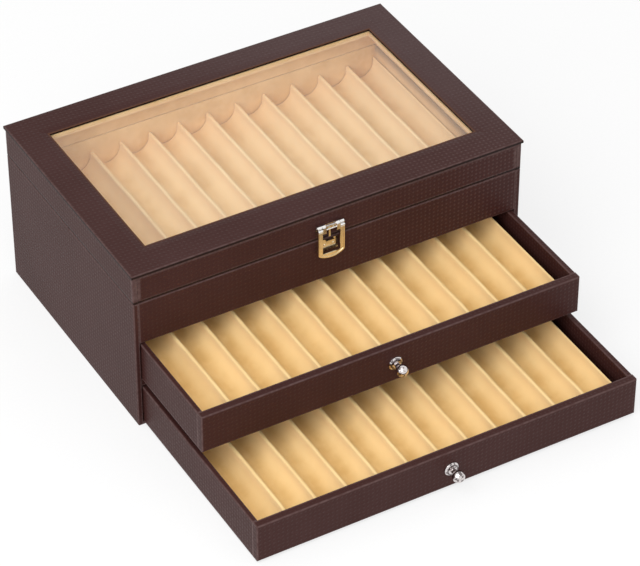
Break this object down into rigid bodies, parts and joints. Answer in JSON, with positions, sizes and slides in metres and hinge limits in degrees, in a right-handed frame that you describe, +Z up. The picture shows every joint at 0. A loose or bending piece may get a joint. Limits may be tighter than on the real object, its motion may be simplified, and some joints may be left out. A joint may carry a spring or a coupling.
{
  "type": "pen collector chest",
  "caption": "Leatherette chest for pens: a glazed lid on a rear hinge with a front clasp over a grooved tray, above pull-out grooved drawers with ball knobs.",
  "frame": {"origin": "middle of the case's underside, on the surface that it stands on", "axes": "+Z up, -Y out of the front, where the drawers and the clasp are, +X to the right seen from the front"},
  "size_m": [0.342, 0.4127, 0.146],
  "materials": {
    "leatherette": "satin",
    "board": "matte",
    "tan_velvet": "matte",
    "clear_glass": "gloss",
    "polished_chrome": "polished",
    "pale_brass": "polished",
    "hinge_brass": "satin",
    "screw_steel": "satin"
  },
  "bodies": {
    "case": {"back_panel": "leatherette", "back_tray_lining": "tan_velvet", "back_tray_surround": "board", "base_panel": "leatherette", "catch_nails": "pale_brass", "catch_plate": "pale_brass", "drawer_shelf": "leatherette", "front_rail": "leatherette", "front_tray_lining": "tan_velvet", "front_tray_surround": "board", "hinge_body_screws": "screw_steel", "hinge_pins": "hinge_brass", "left_hinge_body_leaf": "hinge_brass", "left_side_panel": "leatherette", "left_tray_lining": "tan_velvet", "left_tray_surround": "board", "right_hinge_body_leaf": "hinge_brass", "right_side_panel": "leatherette", "right_tray_lining": "tan_velvet", "right_tray_surround": "board", "tray_floor": "board", "tray_insert": "tan_velvet"},
    "lid": {"lid_left_wall": "leatherette", "lid_right_wall": "leatherette", "lid_front_wall": "leatherette", "lid_back_wall": "leatherette", "lid_top_frame": "leatherette", "glass_pane": "clear_glass", "front_glass_ledge": "tan_velvet", "back_glass_ledge": "tan_velvet", "left_glass_ledge": "tan_velvet", "right_glass_ledge": "tan_velvet", "lid_front_liner": "tan_velvet", "lid_back_liner": "tan_velvet", "lid_left_liner": "tan_velvet", "lid_right_liner": "tan_velvet", "left_hinge_lid_leaf": "hinge_brass", "right_hinge_lid_leaf": "hinge_brass", "hinge_lid_screws": "screw_steel", "clasp_leaf": "pale_brass", "clasp_nails": "pale_brass", "clasp_pin": "polished_chrome"},
    "clasp": {"clasp_hasp": "pale_brass"},
    "upper_drawer": {"upper_drawer_back": "leatherette", "upper_drawer_bottom": "leatherette", "upper_drawer_front": "leatherette", "upper_drawer_insert": "tan_velvet", "upper_drawer_left_side": "leatherette", "upper_drawer_right_side": "leatherette", "upper_knob": "polished_chrome", "upper_knob_screw": "screw_steel"},
    "lower_drawer": {"lower_drawer_back": "leatherette", "lower_drawer_bottom": "leatherette", "lower_drawer_front": "leatherette", "lower_drawer_insert": "tan_velvet", "lower_drawer_left_side": "leatherette", "lower_drawer_right_side": "leatherette", "lower_knob": "polished_chrome", "lower_knob_screw": "screw_steel"}
  },
  "joints": [
    {"name": "lid_hinge", "type": "hinge", "parent": "case", "child": "lid", "pos_m": [0, 0.11, 0.11845], "axis": [-1, 0, 0], "range_deg": [0, 95]},
    {"name": "clasp_hinge", "type": "hinge", "parent": "lid", "child": "clasp", "pos_m": [-0.003, -0.1105, 0.13165], "axis": [-1, 0, 0], "range_deg": [0, 150]},
    {"name": "upper_drawer_slide", "type": "slide", "parent": "case", "child": "upper_drawer", "axis": [0, -1, 0], "range_m": [-0.0955, 0.0895]},
    {"name": "lower_drawer_slide", "type": "slide", "parent": "case", "child": "lower_drawer", "axis": [0, -1, 0], "range_m": [-0.178, 0.007]}
  ]
}
